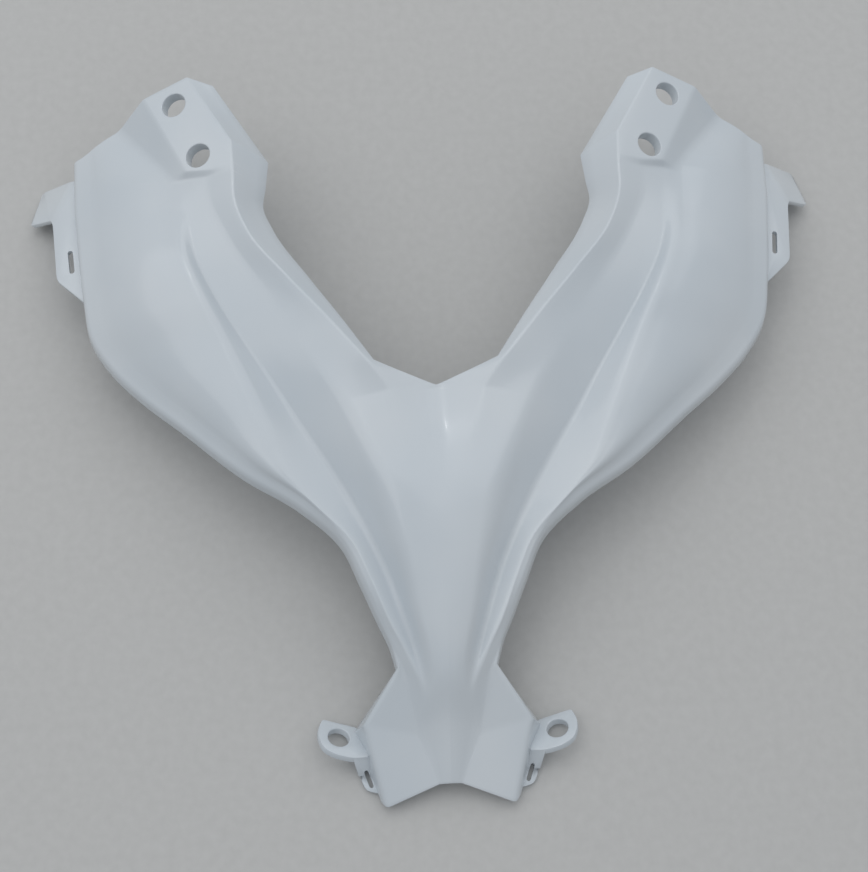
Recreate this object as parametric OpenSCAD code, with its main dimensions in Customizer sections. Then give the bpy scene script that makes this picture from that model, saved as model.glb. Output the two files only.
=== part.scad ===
// Nose fairing of a sport motorcycle: one moulded shell, shaped like a Y.
// The nose lies at low Y, the two arms run towards high Y, and X = 0 is the plane of symmetry.
// Z = 0 is the plane that the nose feet and the two side hooks rest on, and Y = 0 is the middle of the length.

/* [Overall] */
// Width of the fairing over the shoulders of the two arms
shoulder_w = 295; // [270:1:320]
// Length from the nose tips to the ends of the arms
shell_l = 292; // [270:1:320]
// Height of the inner crease above the resting plane
crease_h = 55.5; // [45:0.5:65]

/* [Shell] */
// Thickness of the moulded wall
wall = 2.6; // [2:0.1:3]
// Width of the rounding on each side of a crease
crease_w = 3.2; // [2:0.1:4]
// Width of the rounding on each side of a crease at the mirror pads, which are crisper
pad_crease_w = 1.8; // [1.5:0.1:3]
// How far the outer lobe is crowned above a flat panel
lobe_crown = 3.5; // [0:0.1:6]
// Depth of the border that is turned down around the lobes and the neck
border_drop = 6.5; // [4:0.1:8]
// Width of the rounding on each side of the outer border
border_round = 2.2; // [1:0.1:3]
// Rise of the raised pad above the channel below it
pad_step = 2.5; // [1:0.1:3.5]

/* [Mirror pads] */
// Outward fall of each pad, in degrees
pad_tilt = 19.2; // [12:0.1:25]
// Diameter of the two screw holes in each pad
pad_hole_d = 10.4; // [6:0.1:12]
// Distance between the two screw holes of one pad
pad_hole_pitch = 27.8; // [24:0.1:30]
// Distance of the lower pad hole from the plane of symmetry
pad_hole_x = 91.5; // [89:0.1:94]
// Depth of each pad screw hole, through the wall and the collar below it
pad_hole_depth = 5; // [3.5:0.1:8]
// Outer diameter of the collar around each pad screw hole
pad_collar_d = 15.5; // [13:0.5:18]

/* [Side tabs] */
// Thickness of the tabs and hooks
tab_t = 2.4; // [1.8:0.1:3]
// Width of the slot in each side tab
side_slot_w = 2.2; // [1.4:0.1:3]
// Length of the slot in each side tab
side_slot_l = 11; // [8:0.5:14]
// Reach of each side hook beyond its tab
hook_reach = 11.7; // [9:0.1:14]

/* [Nose ears] */
// Diameter of the screw hole in each nose ear
ear_hole_d = 8.4; // [5:0.1:10]
// Thickness of the ears
ear_t = 3; // [2.4:0.1:3.1]
// Fall of each ear towards the back, in degrees
ear_tilt = 35; // [30:1:36]
// Width of the slot in each nose foot
foot_slot_w = 1.6; // [1:0.1:2]
// Length of the slot in each nose foot
foot_slot_l = 6.8; // [4:0.1:7.5]

/* [Hidden] */
paint = [0.86, 0.88, 0.89];
bore_fn = 48;

// The rails below are drawn for this width, length and height, and follow the values above
drawn_w = 295;
drawn_l = 292;
drawn_h = 55.5;
fit = [shoulder_w / drawn_w, shell_l / drawn_l, crease_h / drawn_h];
// The rails are drawn from a point that lies this far behind the middle of the length
drawn_middle = 3.66;

// Pad plane: it passes through the lower screw hole and falls outwards
pad_h = 49.5;
function pad_at(x, y) = [x, y, pad_h - tan(pad_tilt) * (x - pad_hole_x)];
function below_pad(x, y) = pad_at(x, y) - [0, 0, pad_step];

// Rails of the right half, from the nose end to the arm end, one point for each station.
// Centre line of the nose and neck, then the edge of the V gap, then the inner edge of the arm
edge_rail = [[0, -142, 9.5], [0, -120, 21], [0, -101, 34.5], [0, -91, 38.5], [0, -81, 41.5], [0, -65, 45],
    [0, -52, 47.5], [0, -35, 49], [0, -16, 48], [0, 5.7, 44.5], [23.3, 13.7, 52], [35, 32, 50],
    [47, 50, 47.5], [62, 74, 44.5], [65.6, 84, 43.5], [64.6, 92, 43.7], [64.4, 94.5, 43.7],
    [63.4, 103.7, 44], [85.8, 139.1, 46]];
// Inner crease: middle of the neck, then the ridge above the V gap, then the inner edge of the pad
inner_rail = [[1.4, -142, 9.1], [2.8, -120.4, 20], [2.9, -102, 33.6], [4.4, -90.5, 38], [5.5, -81, 40.8],
    [7, -65.5, 44.6], [8.6, -52, 47.3], [11, -35, 49.6], [14, -16.5, 49.8], [18, 2.2, 51],
    [27.5, 14.4, 54.6], [41, 31, 55.4], [56, 48.5, 55.5], [71, 68, 55.2], [76.2, 82, 55],
    [77, 95.5, 54.8], [77.1, 98.4, 54.7], pad_at(77.9, 109), pad_at(96.5, 142.5)];
// Edge of the raised middle of the neck, then the upper edge of the channel along the arm
ridge_rail = [[2.6, -142, 8.7], [5.6, -121, 18.3], [5.6, -104, 31.2], [8.4, -90.5, 36.4], [11, -81, 38.8],
    [14, -65.5, 43], [17.1, -52, 46], [22, -34, 49], [28.5, -17.5, 49.8], [35.5, -1.6, 50],
    [45, 13.5, 49.8], [56.5, 31.5, 49.6], [68.5, 50, 49.6], [80.5, 69.5, 49.8], [86.4, 83.5, 49.2],
    below_pad(87.6, 95.4), pad_at(87.5, 97.6), pad_at(91.2, 106), pad_at(106, 139.5)];
// Bottom of the channel, then the outer edge of the pad
valley_rail = [[3.3, -142, 8.4], [8.4, -122.2, 15.9], [8.3, -107.5, 26.6], [12.4, -92, 28.6], [16.3, -79.5, 30.4],
    [22, -63.5, 32], [28.6, -49, 34], [35.6, -35.5, 35.2], [43.5, -22, 36.6], [53.5, -6.5, 38.4],
    [64, 11, 40.4], [75.6, 29.5, 42.6], [84.6, 44.5, 44.6], [92.6, 62, 46.6], [95.6, 84, 46.2],
    below_pad(96.8, 96.7), pad_at(96.5, 98.8), pad_at(100.3, 106.3), pad_at(115.4, 136.5)];
// Crest outside the channel
crest_rail = [[3.8, -142, 8.2], [10.6, -123.2, 14.4], [10.4, -106.3, 26.4], [15, -95, 30.6], [20.3, -85, 34],
    [27.2, -68, 37], [33.6, -54.4, 38.8], [46.5, -40, 41], [58.5, -27, 43.8], [67, -8, 46],
    [73.8, 9, 47.4], [82, 28.6, 49], [89, 43.5, 50.6], [96, 60, 50.2], [101, 84, 45],
    [103.2, 95.6, 42.6], [103.6, 98.8, 42.1], [108.6, 106, 39.2], [127.4, 129.7, 28]];
// Inner side of the border band: the valley line beside the nose ridge, then the rim of the lobe
band_rail = [[4.4, -142, 8], [12.3, -123.8, 13.5], [16.6, -101, 24.6], [19.4, -93.4, 28.2], [23.4, -83.6, 31.2],
    [29.4, -69.2, 35.4], [35.8, -55.2, 37.4], [51, -38, 39.4], [71.8, -23.2, 37.8], [96.8, -1.4, 33.4],
    [113.2, 13, 30.4], [124.4, 24.8, 28.9], [133, 37.4, 28.6], [136.6, 57, 29.4], [140, 82.6, 27.6],
    [141.4, 94.4, 26.4], [141.8, 98.2, 26], [142.1, 102.7, 25.3], [143.4, 120.8, 22.4]];
// Outer edge of the shell
border_rail = [[24.6, -149.8, 5], [31.9, -119.3, 15.5], [18.7, -99.7, 26], [21, -91.5, 27.6], [25, -82.6, 29.4],
    [31.1, -68.7, 33], [38, -53.9, 35], [53.3, -39.7, 36.6], [74.6, -25.5, 35], [99.7, -3.8, 31],
    [116.1, 10.3, 28], [127.5, 22.1, 26.5], [136.3, 35.6, 26.2], [140.4, 56, 27], [143.9, 82, 25.2],
    [145.5, 94, 24], [145.8, 98, 23.6], [146.1, 102.4, 22.9], [147.5, 119.9, 20]];
// Lower edge of the turned-down wall, as a step from the outer edge; the nose has a deeper wall
nose_wall = [[2, 2.5, -3.4], [4.6, -1.5, -13.6]];

stations = len(edge_rail);
notch = 9;
pad_foot = 15;
pad_base = 16;
// Stations where a rail turns a corner
corners = [0, 1, 2, notch, notch + 1, pad_foot, pad_base, pad_base + 1, stations - 1];
// Rows of facets between one station and the next
span_rows = [3, 4, 2, 2, 2, 2, 2, 2, 3, 3, 3, 3, 3, 2, 2, 1, 2, 6];

function is_corner(i) = len([for (c = corners) if (c == i) c]) > 0;
function chord(rail, i) = norm(rail[i + 1] - rail[i]);
// Slope of a rail at a station, per millimetre along it, seen from the span on one side
function slope(rail, i, span) =
    is_corner(i) ? (rail[span + 1] - rail[span]) / chord(rail, span)
    : let (before = chord(rail, i - 1), after = chord(rail, i))
      ((rail[i] - rail[i - 1]) / before * after + (rail[i + 1] - rail[i]) / after * before) / (before + after);
function along(rail, i, t) =
    let (length = chord(rail, i), out = slope(rail, i, i) * length, into = slope(rail, i + 1, i) * length)
    (2 * pow(t, 3) - 3 * pow(t, 2) + 1) * rail[i] + (pow(t, 3) - 2 * pow(t, 2) + t) * out
    + (3 * pow(t, 2) - 2 * pow(t, 3)) * rail[i + 1] + (pow(t, 3) - pow(t, 2)) * into;

// Lower edge of the wall that is turned down from the outer edge
wall_rail = [for (i = [0 : stations - 1])
    border_rail[i] + (i < len(nose_wall) ? nose_wall[i] : [0.9, -0.4, -border_drop])];
// Middle of the lobe, crowned over the flat panel between the crest and the band
lobe_rail = [for (i = [0 : stations - 1])
    let (share = i < notch - 3 ? 0 : min(1, (i - notch + 3) / 4) * (i == stations - 1 ? 0.3 : 1))
    (crest_rail[i] + band_rail[i]) / 2 + [0, 0, share * lobe_crown]];

rails = [edge_rail, inner_rail, ridge_rail, valley_rail, crest_rail, lobe_rail,
    band_rail, border_rail, wall_rail];
sharp_rails = [1, 2, 3, 4, 6, 7];
lobe = 5;
border = 7;

// Rounding of one crease across the shell: where it starts, its middle and where it ends
function toward(from, to, reach) = from + (to - from) * min(0.4, reach / max(norm(to - from), 0.01));
function rounded(before, corner, after, reach) =
    let (a = toward(corner, before, reach), b = toward(corner, after, reach))
    [a, a / 4 + corner / 2 + b / 4, b];
function crown_curve(a, middle, b) =
    let (pull = 2 * middle - (a + b) / 2)
    [for (t = [1 / 5 : 1 / 5 : 0.81]) pow(1 - t, 2) * a + 2 * t * (1 - t) * pull + pow(t, 2) * b];
function section(p, crease) =
    let (turns = [for (r = sharp_rails)
        rounded(p[r - 1], p[r], p[r + 1], r == border ? border_round : crease)])
    concat([p[0]], turns[0], turns[1], turns[2], turns[3],
        crown_curve(turns[3][2], p[lobe], turns[4][0]), turns[4], turns[5], [p[8]]);

rows = concat(
    [for (i = [0 : stations - 2]) for (k = [0 : span_rows[i] - 1])
        section([for (rail = rails) along(rail, i, k / span_rows[i])], i < pad_base ? crease_w : pad_crease_w)],
    [section([for (rail = rails) rail[stations - 1]], pad_crease_w)]);
outer = [for (row = rows) [for (p = row) [p.x * fit.x, p.y * fit.y, p.z * fit.z]]];
last_row = len(outer) - 1;
last_col = len(outer[0]) - 1;
function rows_before(i) = i <= 0 ? 0 : span_rows[i - 1] + rows_before(i - 1);
notch_row = rows_before(notch);

// Direction out of the shell at a grid point; on the plane of symmetry it has no X part
function neighbour(i, j) =
    j < 0 ? let (p = outer[i][1]) [-p.x, p.y, p.z] : outer[i][j];
function outward(i, j) =
    let (low = i <= notch_row && j == 0 ? -1 : max(j - 1, 0),
        across = neighbour(i, min(j + 1, last_col)) - neighbour(i, low),
        forward = outer[min(i + 1, last_row)][j] - outer[max(i - 1, 0)][j],
        n = cross(across, forward))
    n / norm(n);
inner = [for (i = [0 : last_row]) [for (j = [0 : last_col]) outer[i][j] - wall * outward(i, j)]];

// Point numbers: outer and inner layer of the right half, then the same of the left half
cols = last_col + 1;
layer_size = (last_row + 1) * cols;
function number(side, layer, i, j) =
    (side == 1 && j == 0 && i <= notch_row ? 0 : side * 2 * layer_size) + layer * layer_size + i * cols + j;
function mirrored(points) = [for (p = points) [-p.x, p.y, p.z]];
right_points = concat([for (row = outer) each row], [for (row = inner) each row]);
function turned(side, face) = side == 0 ? face : [face[2], face[1], face[0]];
function patch(side, a, b, c, d) = [turned(side, [a, b, c]), turned(side, [a, c, d])];
function side_faces(s) = concat(
    [for (i = [0 : last_row - 1]) for (j = [0 : last_col - 1])
        each patch(s, number(s, 0, i, j), number(s, 0, i + 1, j),
            number(s, 0, i + 1, j + 1), number(s, 0, i, j + 1))],
    [for (i = [0 : last_row - 1]) for (j = [0 : last_col - 1])
        each patch(s, number(s, 1, i, j), number(s, 1, i, j + 1),
            number(s, 1, i + 1, j + 1), number(s, 1, i + 1, j))],
    [for (i = [0 : last_row - 1])
        each patch(s, number(s, 0, i, last_col), number(s, 0, i + 1, last_col),
            number(s, 1, i + 1, last_col), number(s, 1, i, last_col))],
    [for (i = [notch_row : last_row - 1])
        each patch(s, number(s, 0, i + 1, 0), number(s, 0, i, 0), number(s, 1, i, 0), number(s, 1, i + 1, 0))],
    [for (j = [0 : last_col - 1])
        each patch(s, number(s, 0, 0, j), number(s, 0, 0, j + 1), number(s, 1, 0, j + 1), number(s, 1, 0, j))],
    [for (j = [0 : last_col - 1])
        each patch(s, number(s, 0, last_row, j + 1), number(s, 0, last_row, j),
            number(s, 1, last_row, j), number(s, 1, last_row, j + 1))]);

// Panel shell of both halves, closed along the plane of symmetry
module shell() {
    polyhedron(points = concat(right_points, mirrored(right_points)),
        faces = concat(side_faces(0), side_faces(1)));
}

module both_sides() {
    children();
    mirror([1, 0, 0]) children();
}

function fitted(p) = [p.x * fit.x, p.y * fit.y, p.z * fit.z];

// Flat plate under an outline that is given clockwise from above
module plate(corner_points, t) {
    p = corner_points;
    count = len(p);
    n = cross(p[2] - p[0], p[1] - p[count - 1]);
    down = n / norm(n) * t;
    low = [for (q = p) q - down];
    polyhedron(points = concat(p, low), faces = concat(
        [for (k = [1 : count - 2]) each [[0, k, k + 1], [count, count + k + 1, count + k]]],
        [for (k = [0 : count - 1]) [(k + 1) % count, k, count + k, count + (k + 1) % count]]));
}

// Plane of the side tab, and its corners
tab_h = 18.9;
tab_fall = [0.2, 0.09];
tab_origin = [150, 80];
// Height of the tab plane at a point
function tab_at(x, y) = [x, y, tab_h - tab_fall.x * (x - tab_origin.x) - tab_fall.y * (y - tab_origin.y)];
tab_top_in = fitted(tab_at(144.6, 112.6));
tab_low_in = fitted(tab_at(139.6, 52.8));
tab_low_out = fitted(tab_at(152.8, 65.4));
tab_mid_out = fitted(tab_at(156.4, 94.7));
tab_top_out = fitted(tab_at(148.8, 113.2));

// The hook is bent down from the outer edge of the tab
hook_front_drop = 11.35;
hook_back_drop = 14.49;
hook_front_tip = tab_mid_out + [hook_reach, 3.6, -hook_front_drop];
hook_back_tip = tab_top_out + [hook_reach + 4.2, 2.3, -hook_back_drop];

module side_tab() {
    plate([tab_low_in, tab_top_in, tab_top_out, tab_mid_out, tab_low_out], tab_t);
    plate([tab_top_out, hook_back_tip, hook_front_tip, tab_mid_out], tab_t);
}

slot_mid = fitted([147, 73.4, 20.2]);
slot_turn = [-6, 0, -8];

module side_slot() {
    translate(slot_mid)
        rotate(slot_turn)
            cube([side_slot_w, side_slot_l, 6 * tab_t], center = true);
}

// Centre of the nose ear's screw hole, and the ear's outline about it in the plane of the ear
ear_mid = fitted([41.9, -122.6, 7]);
ear_turn = 25;
ear_outline = [[-7.5, 7.6], [-3.7, 7.8], [8.9, 5.1], [8.7, 0], [6.9, -3.9], [3.4, -7.4], [-1.4, -8.1],
    [-8.3, -6.6], [-13.5, -3]];

module in_ear() {
    translate(ear_mid)
        rotate([-ear_tilt, 0, ear_turn])
            children();
}

module ear() {
    in_ear()
        translate([0, 0, -ear_t])
            linear_extrude(ear_t)
                polygon(ear_outline);
}

module ear_hole() {
    in_ear()
        translate([0, 0, -2 * ear_t])
            cylinder(d = ear_hole_d, h = 4 * ear_t, $fn = bore_fn);
}

// Foot along the lower edge of the nose wall, and the web that joins it to the ear
foot_outline = [[29.6, -131], [36.2, -131.8], [33.1, -140.8], [31.7, -142.7], [27.8, -143.8], [26.4, -142.6]];
web_outline = [[29.4, -137, 2.4], [29.6, -129.5, 8], [36.6, -131.2, 10.2], [34.8, -137.4, 2.4]];

module foot() {
    linear_extrude(tab_t)
        polygon([for (p = foot_outline) [p.x * fit.x, p.y * fit.y]]);
    plate([for (p = web_outline) fitted(p)], tab_t);
}

foot_slot_mid = fitted([31, -138.4, 0]);
foot_slot_turn = -20;

module foot_slot() {
    translate(foot_slot_mid)
        rotate(foot_slot_turn)
            cube([foot_slot_w, foot_slot_l, 6 * tab_t], center = true);
}

// Screw holes of one pad, square to the pad plane
pad_hole_mid = fitted(pad_at(pad_hole_x, 104.9));
pad_hole_turn = 66.5;

module at_pad_holes() {
    translate(pad_hole_mid)
        rotate([0, pad_tilt, 0])
            for (k = [0, 1])
                translate(k * pad_hole_pitch * [cos(pad_hole_turn), sin(pad_hole_turn), 0])
                    children();
}

module pad_collars() {
    at_pad_holes()
        translate([0, 0, -pad_hole_depth])
            cylinder(d = pad_collar_d, h = pad_hole_depth - wall / 2, $fn = bore_fn);
}

module pad_holes() {
    at_pad_holes()
        translate([0, 0, -2 * pad_hole_depth])
            cylinder(d = pad_hole_d, h = 4 * pad_hole_depth, $fn = bore_fn);
}

module nose_fairing() {
    color(paint)
        translate([0, drawn_middle * fit.y, 0])
            difference() {
                union() {
                    shell();
                    both_sides() {
                        side_tab();
                        ear();
                        foot();
                        pad_collars();
                    }
                }
                both_sides() {
                    pad_holes();
                    side_slot();
                    foot_slot();
                    ear_hole();
                }
            }
}

nose_fairing();
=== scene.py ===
"""Looks of the motorcycle nose fairing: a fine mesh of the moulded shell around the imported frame."""

import math

import bmesh
import bpy
import numpy as np
from mathutils import Matrix, Vector


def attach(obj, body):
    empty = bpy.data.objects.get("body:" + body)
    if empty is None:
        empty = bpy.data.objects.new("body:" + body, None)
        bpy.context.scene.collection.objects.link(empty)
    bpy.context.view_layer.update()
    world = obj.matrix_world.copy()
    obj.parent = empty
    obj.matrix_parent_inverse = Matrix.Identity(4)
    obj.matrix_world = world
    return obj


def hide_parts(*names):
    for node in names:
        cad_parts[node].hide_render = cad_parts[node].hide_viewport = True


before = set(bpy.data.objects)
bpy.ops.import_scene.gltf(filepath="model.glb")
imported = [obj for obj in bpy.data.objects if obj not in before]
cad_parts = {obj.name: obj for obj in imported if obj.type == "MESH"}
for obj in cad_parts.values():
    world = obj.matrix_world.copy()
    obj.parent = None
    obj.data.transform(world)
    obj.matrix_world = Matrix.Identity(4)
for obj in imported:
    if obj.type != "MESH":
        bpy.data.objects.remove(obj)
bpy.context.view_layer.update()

MM = 0.001
FAIRING = "nose_fairing"
# The rails are drawn from a point that lies this far behind the middle of the length
DRAWN_MIDDLE = 3.66

# The moulded shell, drawn on the same rails as the part (millimetres)
WALL = 2.6
BORDER_DROP = 6.5
LOBE_CROWN = 3.5
PAD_TILT = math.radians(19.2)
PAD_H = 49.5
PAD_HOLE = (91.5, 104.9)
PAD_STEP = 2.5
# The photo shows the pad's step run out toward the inner crease, so it is lower at the ridge
RIDGE_STEP = PAD_STEP - 0.9

# Stations along the rails, counted from the nose
NOTCH, PAD_FOOT, PAD_BASE, ARM_END = 9, 15, 16, 18


def pad_at(x, y, drop=0.0):
    """A point on the mirror pad's plane, or that far below it."""
    return (x, y, PAD_H - math.tan(PAD_TILT) * (x - PAD_HOLE[0]) - drop)


# Each rail has one point per station
EDGE = [(0, -142, 9.5), (0, -120, 21), (0, -101, 34.5), (0, -91, 38.5), (0, -81, 41.5), (0, -65, 45),
        (0, -52, 47.5), (0, -35, 49), (0, -16, 48), (0, 5.7, 44.5), (23.3, 13.7, 52), (35, 32, 50),
        (47, 50, 47.5), (62, 74, 44.5), (65.6, 84, 43.5), (64.6, 92, 43.7), (64.4, 94.5, 43.7),
        (63.4, 103.7, 44), (85.8, 139.1, 46)]
INNER = [(1.4, -142, 9.1), (2.8, -120.4, 20), (2.9, -102, 33.6), (4.4, -90.5, 38), (5.5, -81, 40.8),
         (7, -65.5, 44.6), (8.6, -52, 47.3), (11, -35, 49.6), (14, -16.5, 49.8), (18, 2.2, 51),
         (27.5, 14.4, 54.6), (41, 31, 55.4), (56, 48.5, 55.5), (71, 68, 55.2), (76.2, 82, 55),
         (77, 95.5, 54.8), (77.1, 98.4, 54.7), pad_at(77.9, 109), pad_at(96.5, 142.5)]
RIDGE = [(2.6, -142, 8.7), (5.6, -121, 18.3), (5.6, -104, 31.2), (8.4, -90.5, 36.4), (11, -81, 38.8),
         (14, -65.5, 43), (17.1, -52, 46), (22, -34, 49), (28.5, -17.5, 49.8), (35.5, -1.6, 50),
         (45, 13.5, 49.8), (56.5, 31.5, 49.6), (68.5, 50, 49.6), (80.5, 69.5, 49.8), (86.4, 83.5, 49.2),
         pad_at(87.6, 95.4, RIDGE_STEP), pad_at(87.5, 97.6), pad_at(91.2, 106), pad_at(106, 139.5)]
VALLEY = [(3.3, -142, 8.4), (8.4, -122.2, 15.9), (8.3, -107.5, 26.6), (12.4, -92, 28.6),
          (16.3, -79.5, 30.4), (22, -63.5, 32), (28.6, -49, 34), (35.6, -35.5, 35.2), (43.5, -22, 36.6),
          (53.5, -6.5, 38.4), (64, 11, 40.4), (75.6, 29.5, 42.6), (84.6, 44.5, 44.6), (92.6, 62, 46.6),
          (95.6, 84, 46.2), pad_at(96.8, 96.7, PAD_STEP), pad_at(96.5, 98.8), pad_at(100.3, 106.3),
          pad_at(115.4, 136.5)]
CREST = [(3.8, -142, 8.2), (10.6, -123.2, 14.4), (10.4, -106.3, 26.4), (15, -95, 30.6), (20.3, -85, 34),
         (27.2, -68, 37), (33.6, -54.4, 38.8), (46.5, -40, 41), (58.5, -27, 43.8), (67, -8, 46),
         (73.8, 9, 47.4), (82, 28.6, 49), (89, 43.5, 50.6), (96, 60, 50.2), (101, 84, 45),
         (103.2, 95.6, 42.6), (103.6, 98.8, 42.1), (108.6, 106, 39.2), (127.4, 129.7, 28)]
BAND = [(4.4, -142, 8), (12.3, -123.8, 13.5), (16.6, -101, 24.6), (19.4, -93.4, 28.2),
        (23.4, -83.6, 31.2), (29.4, -69.2, 35.4), (35.8, -55.2, 37.4), (51, -38, 39.4),
        (71.8, -23.2, 37.8), (96.8, -1.4, 33.4), (113.2, 13, 30.4), (124.4, 24.8, 28.9), (133, 37.4, 28.6),
        (136.6, 57, 29.4), (140, 82.6, 27.6), (141.4, 94.4, 26.4), (141.8, 98.2, 26),
        (142.1, 102.7, 25.3), (143.4, 120.8, 22.4)]
BORDER = [(24.6, -149.8, 5), (31.9, -119.3, 15.5), (18.7, -99.7, 26), (21, -91.5, 27.6), (25, -82.6, 29.4),
          (31.1, -68.7, 33), (38, -53.9, 35), (53.3, -39.7, 36.6), (74.6, -25.5, 35), (99.7, -3.8, 31),
          (116.1, 10.3, 28), (127.5, 22.1, 26.5), (136.3, 35.6, 26.2), (140.4, 56, 27), (143.9, 82, 25.2),
          (145.5, 94, 24), (145.8, 98, 23.6), (146.1, 102.4, 22.9), (147.5, 119.9, 20)]
# From the border to the foot of the wall: at the nose stations, and at all the others
NOSE_WALL = [(2, 2.5, -3.4), (4.6, -1.5, -13.6)]
WALL_STEP = (0.9, -0.4, -BORDER_DROP)

# The lobe's crown rises over some stations before the notch and is lower at the end of the arm
CROWN_FROM = NOTCH - 3
CROWN_STATIONS = 4
CROWN_AT_END = 0.3


def lobe_rail():
    """The top of the outer lobe, between the crest and the band."""
    rises = []
    for i in range(ARM_END + 1):
        share = min(1, max(0, i - CROWN_FROM) / CROWN_STATIONS) * (CROWN_AT_END if i == ARM_END else 1)
        rises.append((0, 0, share * LOBE_CROWN))
    return (np.array(CREST, float) + np.array(BAND, float)) / 2 + np.array(rises)


def wall_rail():
    """The foot of the turned-down wall below the border."""
    steps = NOSE_WALL + [WALL_STEP] * (len(BORDER) - len(NOSE_WALL))
    return np.array(BORDER, float) + np.array(steps)


RAILS = {"edge": EDGE, "inner": INNER, "ridge": RIDGE, "valley": VALLEY, "crest": CREST, "lobe": lobe_rail(),
         "band": BAND, "border": BORDER, "wall": wall_rail()}
RAILS = {name: np.array(points, float) for name, points in RAILS.items()}
RAIL_ORDER = list(RAILS)

# How far the rounding of each crease reaches, at these places along the shell
REACH_AT = (-40, 10, 78, 97)
REACH = {"inner": (4.5, 1.6, 0.9, 0.9), "ridge": (6.0, 2.4, 2.2, 1.8), "valley": (3.0, 1.4, 1.0, 1.4),
         "crest": (4.0, 4.2, 4.2, 2.6), "band": (5.0,) * 4, "border": (2.2,) * 4}
MOST_OF_PANEL = 0.4

# The stations where a rail turns a corner
BODY_CORNERS = {0, PAD_FOOT, PAD_BASE, PAD_BASE + 1, ARM_END}
NOSE_CORNERS = {1, 2}
CORNERS = {name: BODY_CORNERS for name in RAIL_ORDER}
CORNERS["edge"] = BODY_CORNERS | {NOTCH, NOTCH + 1}
CORNERS["inner"] = BODY_CORNERS | {NOTCH}
for outer_rail in ("band", "border", "wall"):
    CORNERS[outer_rail] = BODY_CORNERS | NOSE_CORNERS

# The mesh: points across each part of a section, and the spacing of the rows on the longest of some rails
SPAN_RAILS = ("edge", "valley", "border")
ROUND_POINTS = 7
PANEL_POINTS = 2
CROWN_POINTS = 9
WALL_POINTS = 3
ROW_STEP = 1.7
STEP_ROW_STEP = 0.4
STEP_REACH = 3.2
STEP_SMOOTHING = 5
RIM_R = 0.7


def slope(name, i, span):
    """Direction of a rail at a station, which at a corner is that of the span itself."""
    rail = RAILS[name]
    if i in CORNERS[name]:
        return unit(rail[span + 1] - rail[span])
    back, ahead = rail[i] - rail[i - 1], rail[i + 1] - rail[i]
    before, after = np.linalg.norm(back), np.linalg.norm(ahead)
    return (back / before * after + ahead / after * before) / (before + after)


def along(name, i, t):
    """Point at share t of the span that starts at station i of a rail."""
    rail = RAILS[name]
    length = np.linalg.norm(rail[i + 1] - rail[i])
    out, into = slope(name, i, i) * length, slope(name, i + 1, i) * length
    return ((2 * t**3 - 3 * t**2 + 1) * rail[i] + (t**3 - 2 * t**2 + t) * out
            + (3 * t**2 - 2 * t**3) * rail[i + 1] + (t**3 - t**2) * into)


def unit(v):
    return v / max(np.linalg.norm(v), 1e-12)


def toward(a, b, reach):
    """The point that far from a on the way to b, within the near part of that way."""
    return a + (b - a) * min(MOST_OF_PANEL, reach / max(np.linalg.norm(b - a), 0.01))


def bezier(a, middle, b, shares):
    return [(1 - t) ** 2 * a + 2 * t * (1 - t) * middle + t**2 * b for t in shares]


def section(p):
    """Points across the shell, from the edge rail to the foot of the turned-down wall."""
    line = [p[0]]
    for name, reaches in REACH.items():
        r = RAIL_ORDER.index(name)
        reach = np.interp(p[r][1], REACH_AT, reaches)
        a, b = toward(p[r], p[r - 1], reach), toward(p[r], p[r + 1], reach)
        start = line[-1]
        if name == "band":
            crown = 2 * p[r - 1] - (start + a) / 2
            line += bezier(start, crown, a, np.linspace(0, 1, CROWN_POINTS + 2)[1:-1])
        else:
            line += [start + (a - start) * k / (PANEL_POINTS + 1) for k in range(1, PANEL_POINTS + 1)]
        line += bezier(a, p[r], b, np.linspace(0, 1, ROUND_POINTS))
    top = line[-1]
    line += [top + (p[-1] - top) * k / WALL_POINTS for k in range(1, WALL_POINTS + 1)]
    return np.array(line)


def row_shares(i, span):
    """Shares of a span at which rows lie, close together on the pad's step and just beside it."""
    count = max(2, round(span / (STEP_ROW_STEP if i == PAD_FOOT else ROW_STEP)))
    shares = list(np.arange(count) / count)
    if i not in (PAD_FOOT - 1, PAD_BASE):
        return shares
    reach, fine = STEP_REACH / span, STEP_ROW_STEP / span
    close = np.arange(0, reach, fine)
    if i == PAD_BASE:
        shares = [t for t in shares if t >= reach] + list(close)
    else:
        shares = [t for t in shares if t < 1 - reach] + list(1 - reach + close)
    shares.sort()
    return [t for k, t in enumerate(shares) if k == 0 or t - shares[k - 1] > fine / 3]


def shell_grid():
    """Rows of outer points of the right half, and the row of the V notch."""
    rows, notch_row = [], 0
    for i in range(ARM_END):
        if i == NOTCH:
            notch_row = len(rows)
        span = max(np.linalg.norm(RAILS[name][i + 1] - RAILS[name][i]) for name in SPAN_RAILS)
        rows += [section([along(name, i, t) for name in RAIL_ORDER]) for t in row_shares(i, span)]
    rows.append(section([RAILS[name][ARM_END] for name in RAIL_ORDER]))
    return np.array(rows), notch_row


def soften_step(grid):
    """Rounds the two bends of the pad's step, where the rows are close together."""
    spacing = np.linalg.norm(np.diff(grid, axis=0), axis=2).min(1)
    close = [k for k in range(1, len(grid) - 1) if max(spacing[k - 1], spacing[k]) < 1.6 * STEP_ROW_STEP]
    for _ in range(STEP_SMOOTHING):
        fresh = grid.copy()
        for k in close:
            fresh[k] = grid[k] / 2 + (grid[k - 1] + grid[k + 1]) / 4
        grid = fresh
    return grid


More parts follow.
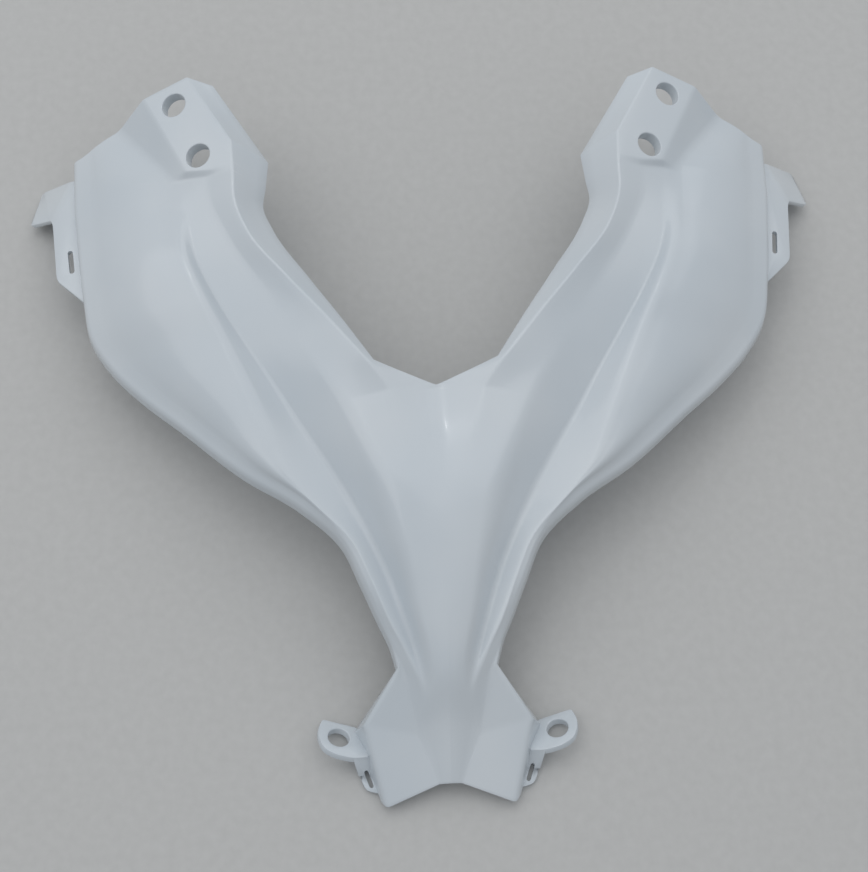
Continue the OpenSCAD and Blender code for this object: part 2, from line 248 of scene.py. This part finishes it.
def outward_normals(grid, notch_row):
    """Surface normals at the grid's points; up to the notch the edge continues into the other half."""
    left = np.concatenate([grid[:, :1], grid[:, :-1]], axis=1)
    left[:notch_row + 1, 0] = grid[:notch_row + 1, 1] * (-1, 1, 1)
    across = np.concatenate([grid[:, 1:], grid[:, -1:]], axis=1) - left
    forward = np.concatenate([grid[1:], grid[-1:]]) - np.concatenate([grid[:1], grid[:-1]])
    n = np.cross(across, forward)
    return n / np.linalg.norm(n, axis=2, keepdims=True)


def on_middle(p):
    """Whether a point lies in the plane of symmetry."""
    return abs(p[0]) < 1e-9


def open_edge(rows, cols, notch_row):
    """Grid places round the open edge of the half shell, from the nose round to the notch."""
    last_row, last_col = rows - 1, cols - 1
    return ([(0, j) for j in range(cols)] + [(i, last_col) for i in range(1, rows)]
            + [(last_row, j) for j in range(last_col - 1, -1, -1)]
            + [(i, 0) for i in range(last_row - 1, notch_row - 1, -1)])


def way_out(grid, i, j, notch_row):
    """Direction along the surface that leaves the shell at a place on its open edge."""
    last_row, last_col = grid.shape[0] - 1, grid.shape[1] - 1
    d = np.zeros(3)
    if i == 0:
        d += unit(grid[0, j] - grid[1, j])
    if i == last_row:
        d += unit(grid[last_row, j] - grid[last_row - 1, j])
    if j == last_col:
        d += unit(grid[i, last_col] - grid[i, last_col - 1])
    if j == 0 and i >= notch_row:
        d += unit(grid[i, 0] - grid[i, 1])
    if on_middle(grid[i, j]):
        d[0] = 0
    return unit(d)


def rim_points(top, under, out):
    """The rounded rim of the wall, from its outer to its inner point."""
    down = unit(under - top)
    if on_middle(top):
        down = unit(down * (0, 1, 1))
    turn = RIM_R * (1 - math.sqrt(0.5))
    return [top - out * turn + down * turn, top + down * RIM_R, under - down * RIM_R,
            under - out * turn - down * turn]


def half_shell(grid, notch_row):
    """Vertices and faces of the right half with rounded rims, open along the plane of symmetry."""
    rows, cols = grid.shape[:2]
    inner = grid - WALL * outward_normals(grid, notch_row)
    edge = open_edge(rows, cols, notch_row)
    ways = [way_out(grid, i, j, notch_row) for i, j in edge]
    rims = [rim_points(grid[i, j], inner[i, j], way) for (i, j), way in zip(edge, ways)]
    for (i, j), way in zip(edge, ways):
        grid[i, j] -= way * RIM_R
        inner[i, j] -= way * RIM_R
    layer, steps = rows * cols, len(rims[0])
    faces = []
    for i in range(rows - 1):
        for j in range(cols - 1):
            a, b = i * cols + j, (i + 1) * cols + j
            faces.append((a, a + 1, b + 1, b))
            faces.append((layer + a, layer + b, layer + b + 1, layer + a + 1))
    strips = []
    for k, (i, j) in enumerate(edge):
        first = 2 * layer + k * steps
        strips.append([i * cols + j, *range(first, first + steps), layer + i * cols + j])
    for here, there in zip(strips, strips[1:]):
        faces += [(here[q], there[q], there[q + 1], here[q + 1]) for q in range(steps + 1)]
    return np.concatenate([grid.reshape(-1, 3), inner.reshape(-1, 3), np.reshape(rims, (-1, 3))]), faces


def linked(name, mesh):
    obj = bpy.data.objects.new(name, mesh)
    bpy.context.scene.collection.objects.link(obj)
    return obj


def mesh_object(name, verts, faces):
    """A scene object from points in millimetres."""
    mesh = bpy.data.meshes.new(name)
    mesh.from_pydata([tuple(v * MM) for v in np.asarray(verts, float)], [], faces)
    return linked(name, mesh)


def bmesh_object(name, bm):
    """A scene object from a bmesh, which is freed."""
    mesh = bpy.data.meshes.new(name)
    bm.to_mesh(mesh)
    bm.free()
    return linked(name, mesh)


def build_shell():
    """Both halves, joined along the plane of symmetry."""
    grid, notch_row = shell_grid()
    verts, faces = half_shell(soften_step(grid), notch_row)
    both = np.concatenate([verts, verts * (-1, 1, 1)])
    obj = mesh_object("shell", both, faces + [tuple(len(verts) + v for v in reversed(f)) for f in faces])
    bm = bmesh.new()
    bm.from_mesh(obj.data)
    bmesh.ops.remove_doubles(bm, verts=bm.verts, dist=2e-6)
    bmesh.ops.recalc_face_normals(bm, faces=bm.faces)
    bm.to_mesh(obj.data)
    bm.free()
    return obj


# Tabs, hooks, ears and feet: bent plates with rounded corners
PLATE_RIM = 0.5
HOLE_RIM = 0.45
CORNER_STEPS = 5
BEND_STEPS = 5

TAB_T = 2.4
TAB_MID = (150, 80, 18.9)
TAB_FALL = (0.2, 0.09)
TAB_LOW_IN, TAB_TOP_IN = (139.6, 52.8), (144.6, 112.6)
TAB_LOW_OUT, TAB_MID_OUT, TAB_TOP_OUT = (152.8, 65.4), (156.4, 94.7), (148.8, 113.2)
TAB_ROUND = [0, 0, 0, 0, 2.5]
TAB_BEND = 2.2
HOOK_FRONT, HOOK_BACK = (11.7, 3.6, -11.35), (15.9, 2.3, -14.49)
HOOK_ROUND = [0, 3.0, 0.6, 0]

EAR_T = 3.0
EAR_MID = (41.9, -122.6, 7)
EAR_TURN = Matrix.Rotation(math.radians(25), 4, "Z") @ Matrix.Rotation(math.radians(-35), 4, "X")
EAR_OUTLINE = [(-7.5, 7.6), (-3.7, 7.8), (8.9, 5.1), (8.7, 0), (6.9, -3.9), (3.4, -7.4), (-1.4, -8.1),
               (-8.3, -6.6), (-13.5, -3)]
EAR_ROUND = [0, 0, 1.2, 2.5, 2.5, 2.5, 3.0, 3.0, 0]
EAR_HOLE_D = 8.4

FOOT_OUTLINE = [(29.6, -131), (36.2, -131.8), (33.1, -140.8), (31.7, -142.7), (27.8, -143.8), (26.4, -142.6)]
FOOT_ROUND = [0, 0.8, 1.5, 1.2, 0.8, 0]
WEB_OUTLINE = [(29.4, -137, 2.4), (29.6, -129.5, 8), (36.6, -131.2, 10.2), (34.8, -137.4, 2.4)]

# Slots with round ends: middle, turn about the vertical, width, length and height of the cut
SIDE_SLOT = ((147, 73.4, 20.2), math.radians(-8), 2.2, 11, 16)
FOOT_SLOT = ((31, -138.4, 0), math.radians(-20), 1.6, 6.8, 10)
SLOT_END_STEPS = 8

PAD_HOLE_D = 10.4
PAD_COLLAR_D = 15.5
PAD_HOLE_DEPTH = 5
PAD_PITCH = 27.8
PAD_TURN = math.radians(66.5)

ROUND_SEGMENTS = 64
HOLE_RIM_STEPS = 4
CUT_BELOW, CUT_ABOVE = 12, 3


def rounded_outline(points, reaches):
    """Outline with each corner replaced by an arc-like curve of that reach."""
    corners = [np.array(p, float) for p in points]
    out = []
    for k, (p, reach) in enumerate(zip(corners, reaches)):
        if reach <= 0:
            out.append(p)
            continue
        a, b = toward(p, corners[k - 1], reach), toward(p, corners[(k + 1) % len(corners)], reach)
        out += bezier(a, p, b, np.linspace(0, 1, CORNER_STEPS + 1))
    return out


def facing_up(points):
    """The outline in the order whose normal points up."""
    pts = [np.array(p, float) for p in points]
    area = sum(np.cross(a[:2], b[:2]) for a, b in zip(pts, pts[1:] + pts[:1]))
    return pts if area > 0 else pts[::-1]


def apply_modifiers(obj):
    bpy.context.view_layer.update()
    graph = bpy.context.evaluated_depsgraph_get()
    mesh = bpy.data.meshes.new_from_object(obj.evaluated_get(graph))
    obj.modifiers.clear()
    obj.data = mesh
    return obj


def plate(name, outlines, thickness, bend_reach=0):
    """A plate from outlines that share an edge; with a bend reach, that edge becomes a rounded bend."""
    bm = bmesh.new()
    for outline in outlines:
        bm.faces.new([bm.verts.new(Vector(p) * MM) for p in facing_up(outline)])
    bmesh.ops.remove_doubles(bm, verts=bm.verts, dist=1e-6)
    if bend_reach:
        shared = [e for e in bm.edges if len(e.link_faces) == 2]
        bmesh.ops.bevel(bm, geom=shared, offset=bend_reach * MM, segments=BEND_STEPS, profile=0.5,
                        affect="EDGES")
    obj = bmesh_object(name, bm)
    solid = obj.modifiers.new("thickness", "SOLIDIFY")
    solid.thickness = thickness * MM
    solid.offset = -1
    solid.use_even_offset = True
    rim = obj.modifiers.new("rim", "BEVEL")
    rim.width = PLATE_RIM * MM
    rim.segments = 2
    rim.limit_method = "ANGLE"
    rim.angle_limit = math.radians(50)
    return apply_modifiers(obj)


def tab_at(x, y):
    """A point on the side tab's plane."""
    return (x, y, TAB_MID[2] - TAB_FALL[0] * (x - TAB_MID[0]) - TAB_FALL[1] * (y - TAB_MID[1]))


def side_tab():
    """The tab beside the lobe, with its hook bent down along the outer edge."""
    low_in, top_in, top_out, mid_out, low_out = (
        tab_at(*p) for p in (TAB_LOW_IN, TAB_TOP_IN, TAB_TOP_OUT, TAB_MID_OUT, TAB_LOW_OUT))
    front_tip = np.array(mid_out) + HOOK_FRONT
    back_tip = np.array(top_out) + HOOK_BACK
    tab = rounded_outline([low_in, top_in, top_out, mid_out, low_out], TAB_ROUND)
    hook = rounded_outline([top_out, back_tip, front_tip, mid_out], HOOK_ROUND)
    return plate("side_tab", [tab, hook], TAB_T, TAB_BEND)


def ear():
    """The nose ear, a tilted plate."""
    outline = rounded_outline([(x, y, 0) for x, y in EAR_OUTLINE], EAR_ROUND)
    return plate("ear", [[np.array(EAR_TURN @ Vector(p)) + EAR_MID for p in outline]], EAR_T)


def foot():
    return plate("foot", [rounded_outline([(x, y, TAB_T) for x, y in FOOT_OUTLINE], FOOT_ROUND)], TAB_T)


def web():
    """The plate that joins the foot to the ear."""
    return plate("web", [WEB_OUTLINE], TAB_T)


def closed_prism(name, rings):
    """A closed solid through rings of vertices, from the lowest to the highest."""
    bm = bmesh.new()
    rings = [[bm.verts.new(p) for p in ring] for ring in rings]
    for low, high in zip(rings, rings[1:]):
        for k in range(len(low)):
            n = (k + 1) % len(low)
            bm.faces.new((low[k], low[n], high[n], high[k]))
    bm.faces.new(rings[0][::-1])
    bm.faces.new(rings[-1])
    return bmesh_object(name, bm)


def lathe(name, base, axis, profile):
    """A closed round solid about an axis from base, through rings of (height, radius)."""
    lean = Vector((0, 0, 1)).rotation_difference(Vector(axis))
    place = Matrix.Translation(Vector(base)) @ lean.to_matrix().to_4x4()
    around = [(math.cos(a), math.sin(a)) for a in np.linspace(0, 2 * math.pi, ROUND_SEGMENTS, endpoint=False)]
    return closed_prism(name, [[place @ Vector((x * radius, y * radius, height)) * MM for x, y in around]
                               for height, radius in profile])


def hole_cutter(name, middle, axis, diameter):
    """Cutter of a screw hole whose upper rim is rounded."""
    rim = [(HOLE_RIM * (math.sin(a) - 1), diameter / 2 + HOLE_RIM * (1 - math.cos(a)))
           for a in np.linspace(0, math.pi / 2, HOLE_RIM_STEPS + 1)[:-1]]
    wide = diameter / 2 + HOLE_RIM
    return lathe(name, middle, axis, [(-CUT_BELOW, diameter / 2)] + rim + [(-0.01, wide), (CUT_ABOVE, wide)])


def slot_cutter(name, middle, turn, width, length, height):
    """Cutter of a slot with round ends."""
    outline = []
    for start, end in ((0, 1), (math.pi, -1)):
        for k in range(SLOT_END_STEPS + 1):
            a = math.pi * k / SLOT_END_STEPS + start
            outline.append((math.cos(a) * width / 2, math.sin(a) * width / 2 + end * (length - width) / 2))
    place = Matrix.Translation(Vector(middle) * MM) @ Matrix.Rotation(turn, 4, "Z")
    return closed_prism(name, [[place @ (Vector((x, y, z)) * MM) for x, y in outline]
                               for z in (-height / 2, height / 2)])


def pad_axes():
    """Centres and direction of the right pad's two screw holes."""
    tilt = Matrix.Rotation(PAD_TILT, 3, "Y")
    first = Vector(pad_at(*PAD_HOLE))
    step = tilt @ Vector((math.cos(PAD_TURN), math.sin(PAD_TURN), 0)) * PAD_PITCH
    return [first, first + step], tilt @ Vector((0, 0, 1))


def mirrored_copy(obj):
    verts = [(-v.co.x / MM, v.co.y / MM, v.co.z / MM) for v in obj.data.vertices]
    return mesh_object(obj.name + "_left", verts, [tuple(reversed(p.vertices)) for p in obj.data.polygons])


def joined(name, objects):
    """One object from the given ones and their mirrored copies."""
    bm = bmesh.new()
    for obj in objects + [mirrored_copy(o) for o in objects]:
        bm.from_mesh(obj.data)
        bpy.data.objects.remove(obj)
    return bmesh_object(name, bm)


def combine(obj, other, operation):
    """Adds the other object to this one or cuts it out, and removes it."""
    step = obj.modifiers.new(operation.lower(), "BOOLEAN")
    step.operation = operation
    step.solver = "EXACT"
    step.use_self = True
    step.object = other
    apply_modifiers(obj)
    bpy.data.objects.remove(other)


def build_fairing():
    shell = build_shell()
    centres, axis = pad_axes()
    collars = [lathe("collar", c, axis, [(-PAD_HOLE_DEPTH, PAD_COLLAR_D / 2), (-WALL / 2, PAD_COLLAR_D / 2)])
               for c in centres]
    combine(shell, joined("fittings", [side_tab(), ear(), foot(), web()] + collars), "UNION")
    ear_axis = EAR_TURN.to_3x3() @ Vector((0, 0, 1))
    cutters = [hole_cutter("pad_hole", c, axis, PAD_HOLE_D) for c in centres]
    cutters.append(hole_cutter("ear_hole", EAR_MID, ear_axis, EAR_HOLE_D))
    cutters.append(slot_cutter("side_slot", *SIDE_SLOT))
    cutters.append(slot_cutter("foot_slot", *FOOT_SLOT))
    combine(shell, joined("cutters", cutters), "DIFFERENCE")
    shell.data.transform(Matrix.Translation((0, DRAWN_MIDDLE * MM, 0)))
    shell.name = "fairing_shell"
    shell.data.shade_smooth()
    shell.data.set_sharp_from_angle(angle=math.radians(38))
    return shell


# Materials
PLASTIC_DEEP, PLASTIC_PALE = (0.60, 0.655, 0.70, 1), (0.655, 0.70, 0.735, 1)
DUST = (0.50, 0.49, 0.46, 1)
RUBBED = (0.74, 0.77, 0.79, 1)
FLOOR_DARK, FLOOR_PALE = (0.53, 0.53, 0.52, 1), (0.56, 0.56, 0.55, 1)


def nodes_of(name):
    material = bpy.data.materials.new(name)
    material.use_nodes = True
    tree = material.node_tree
    return material, tree, tree.nodes["Principled BSDF"]


def noise(tree, scale, detail, roughness=0.5):
    coords = tree.nodes.new("ShaderNodeTexCoord")
    node = tree.nodes.new("ShaderNodeTexNoise")
    node.inputs["Scale"].default_value = scale
    node.inputs["Detail"].default_value = detail
    node.inputs["Roughness"].default_value = roughness
    tree.links.new(coords.outputs["Object"], node.inputs["Vector"])
    return node.outputs["Fac"]


def remap(tree, value, low, high, to_low, to_high):
    node = tree.nodes.new("ShaderNodeMapRange")
    for key, number in (("From Min", low), ("From Max", high), ("To Min", to_low), ("To Max", to_high)):
        node.inputs[key].default_value = number
    tree.links.new(value, node.inputs["Value"])
    return node.outputs["Result"]


def mix(tree, factor, first, second):
    """Colour between two, each a fixed colour or a socket; 6, 7 and 2 are the node's colour sockets."""
    node = tree.nodes.new("ShaderNodeMix")
    node.data_type = "RGBA"
    for key, value in ((6, first), (7, second)):
        if isinstance(value, tuple):
            node.inputs[key].default_value = value
        else:
            tree.links.new(value, node.inputs[key])
    tree.links.new(factor, node.inputs[0])
    return node.outputs[2]


def gloss_plastic():
    """Moulded glossy white plastic: cool white, faint mould haze, dust, fine orange peel and rubbed edges."""
    material, tree, bsdf = nodes_of("gloss_white_plastic")
    haze = remap(tree, noise(tree, 14, 3), 0.35, 0.65, 0, 1)
    colour = mix(tree, haze, PLASTIC_DEEP, PLASTIC_PALE)
    dust = remap(tree, noise(tree, 900, 4, 0.6), 0.68, 0.76, 0, 0.18)
    colour = mix(tree, dust, colour, DUST)
    geometry = tree.nodes.new("ShaderNodeNewGeometry")
    rubbed = remap(tree, geometry.outputs["Pointiness"], 0.56, 0.66, 0, 0.3)
    colour = mix(tree, rubbed, colour, RUBBED)
    tree.links.new(colour, bsdf.inputs["Base Color"])
    smear = remap(tree, noise(tree, 40, 2), 0.2, 0.8, 0.19, 0.26)
    tree.links.new(smear, bsdf.inputs["Roughness"])
    bsdf.inputs["IOR"].default_value = 1.5
    bsdf.inputs["Coat Weight"].default_value = 0.2
    bsdf.inputs["Coat Roughness"].default_value = 0.1
    peel = tree.nodes.new("ShaderNodeBump")
    peel.inputs["Strength"].default_value = 0.05
    peel.inputs["Distance"].default_value = 0.0002
    tree.links.new(noise(tree, 420, 2), peel.inputs["Height"])
    tree.links.new(peel.outputs["Normal"], bsdf.inputs["Normal"])
    return material


def floor_material():
    material, tree, bsdf = nodes_of("pale_floor")
    grain = remap(tree, noise(tree, 260, 5), 0.3, 0.7, 0, 1)
    tree.links.new(mix(tree, grain, FLOOR_DARK, FLOOR_PALE), bsdf.inputs["Base Color"])
    bsdf.inputs["Roughness"].default_value = 0.75
    return material


fairing = build_fairing()
fairing.data.materials.clear()
fairing.data.materials.append(gloss_plastic())
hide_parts(FAIRING)
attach(fairing, "root")

# Floor, lamps, world and camera (metres, watts)
FLOOR_SIZE = 12
FLOOR_Z = -0.0002
LAMPS = {"key": ((0.45, 0.90, 1.60), 2.2, 8.5),
         "glint": ((-0.25, 0.80, 1.40), 0.06, 0.4),
         "fill": ((-1.10, 0.45, 1.70), 2.0, 8.5)}
LAMP_AIM = (0, 0, 0.03)
WORLD_COLOUR = (0.93, 0.96, 1.0, 1)
WORLD_STRENGTH = 0.48

# The camera as it was fitted to the photo: place in millimetres, directions, focal length in pixels
CAMERA_AT = (-25.12, -175.93, 551.68)
CAMERA_RIGHT = (0.99847, -0.04571, 0.0311)
CAMERA_UP = (0.03386, 0.95028, 0.30956)
PHOTO_WIDTH = 868
FOCAL_LENGTH = 1400
SENSOR_WIDTH = 36

bpy.ops.mesh.primitive_plane_add(size=FLOOR_SIZE, location=(0, 0, FLOOR_Z))
floor = bpy.context.object
floor.name = "floor"
floor.data.materials.append(floor_material())


def area_lamp(name, position, size, power):
    """A round lamp that points at the middle of the part."""
    data = bpy.data.lights.new(name, "AREA")
    data.shape = "DISK"
    data.size = size
    data.energy = power
    lamp = linked(name, data)
    lamp.location = position
    lamp.rotation_euler = (Vector(LAMP_AIM) - Vector(position)).to_track_quat("-Z", "Y").to_euler()


for lamp_name, (position, size, power) in LAMPS.items():
    area_lamp(lamp_name, position, size, power)

world = bpy.data.worlds.new("studio")
world.use_nodes = True
world.node_tree.nodes["Background"].inputs["Color"].default_value = WORLD_COLOUR
world.node_tree.nodes["Background"].inputs["Strength"].default_value = WORLD_STRENGTH
bpy.context.scene.world = world

camera_data = bpy.data.cameras.new("camera")
camera_data.sensor_fit = "HORIZONTAL"
camera_data.sensor_width = SENSOR_WIDTH
camera_data.lens = FOCAL_LENGTH / PHOTO_WIDTH * SENSOR_WIDTH
camera_data.clip_start = 0.01
camera = linked("camera", camera_data)
right = Vector(CAMERA_RIGHT).normalized()
back = right.cross(Vector(CAMERA_UP)).normalized()
turn = Matrix((right, back.cross(right), back)).transposed().to_4x4()
camera.matrix_world = Matrix.Translation(Vector(CAMERA_AT) * MM) @ turn
bpy.context.scene.camera = camera
bpy.context.scene.view_settings.view_transform = "Standard"
